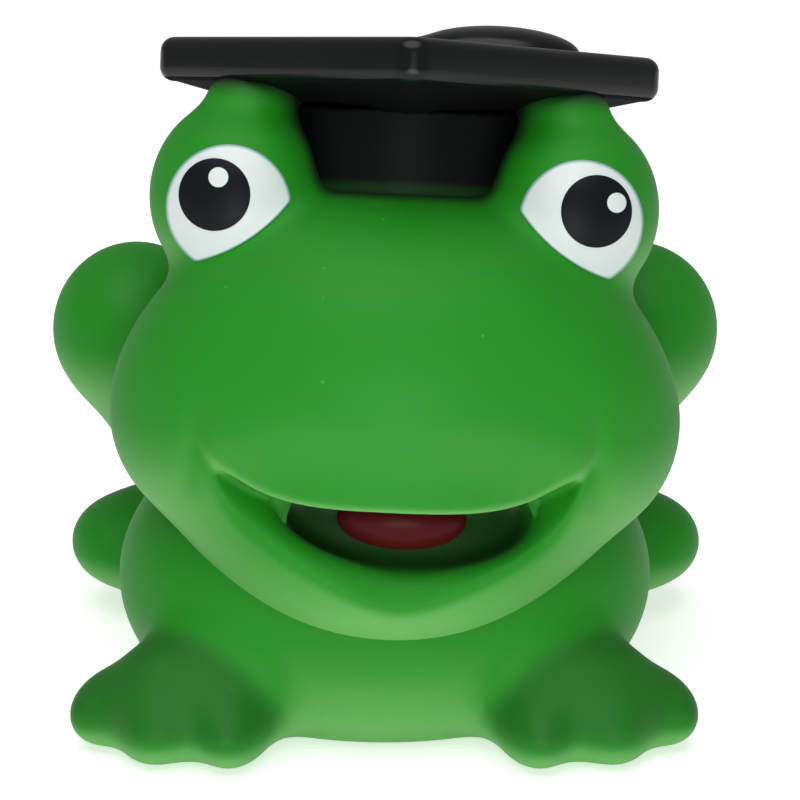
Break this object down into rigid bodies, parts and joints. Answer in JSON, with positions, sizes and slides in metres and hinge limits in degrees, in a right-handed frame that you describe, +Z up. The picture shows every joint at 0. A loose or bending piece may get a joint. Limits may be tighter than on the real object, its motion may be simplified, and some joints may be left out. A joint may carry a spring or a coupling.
{
  "type": "squeaky bath toy",
  "caption": "Hollow squeaky bath toy shaped as a sitting frog with a wide open smile, bulging eyes and a flat square graduation cap, with a press-in squeaker in its flat base.",
  "frame": {"origin": "middle of the round squeaker hole, in the plane of the flat base", "axes": "+Z up, out of the back of the cap; -Y the way the frog faces; +X to the right for someone who looks at its face"},
  "size_m": [0.0892, 0.0722, 0.092],
  "materials": {
    "green_vinyl": "soft rotocast vinyl, semi-matte, moulded in green",
    "black_paint": "glossy black vinyl paint",
    "white_paint": "glossy off-white vinyl paint",
    "red_paint": "glossy dark red vinyl paint",
    "white_plastic": "satin moulded polyethylene, off-white",
    "grey_plastic": "satin moulded hard plastic, pale grey",
    "reed_film": "thin springy plastic film, amber"
  },
  "bodies": {
    "base": {"torso_shell": "green_vinyl", "left_front_foot": "green_vinyl", "right_front_foot": "green_vinyl", "left_hind_leg": "green_vinyl", "right_hind_leg": "green_vinyl", "left_hind_foot": "green_vinyl", "right_hind_foot": "green_vinyl", "squeaker_housing": "white_plastic", "squeaker_cover": "white_plastic", "squeaker_reed_channel": "grey_plastic", "squeaker_reed_wedge": "grey_plastic"},
    "head": {"head_shell": "green_vinyl", "left_eye_white": "white_paint", "right_eye_white": "white_paint", "left_pupil": "black_paint", "right_pupil": "black_paint", "left_eye_glint": "white_paint", "right_eye_glint": "white_paint", "tongue": "red_paint", "cap_crown": "black_paint", "cap_board": "black_paint", "cap_tassel": "black_paint"},
    "reed": {"squeaker_reed": "reed_film"}
  },
  "joints": [
    {"name": "squeeze", "type": "slide", "parent": "base", "child": "head", "axis": [0, 0, -1], "range_m": [0, 0.005], "stiffness_N_per_m": 1500, "springref_m": -0.0005, "deforming": ["torso_shell"]},
    {"name": "reed_flex", "type": "hinge", "parent": "base", "child": "reed", "pos_m": [0, 0, 0.0094], "axis": [1, 0, 0], "range_deg": [-2, 2], "stiffness_Nm_per_rad": 0.0002}
  ]
}
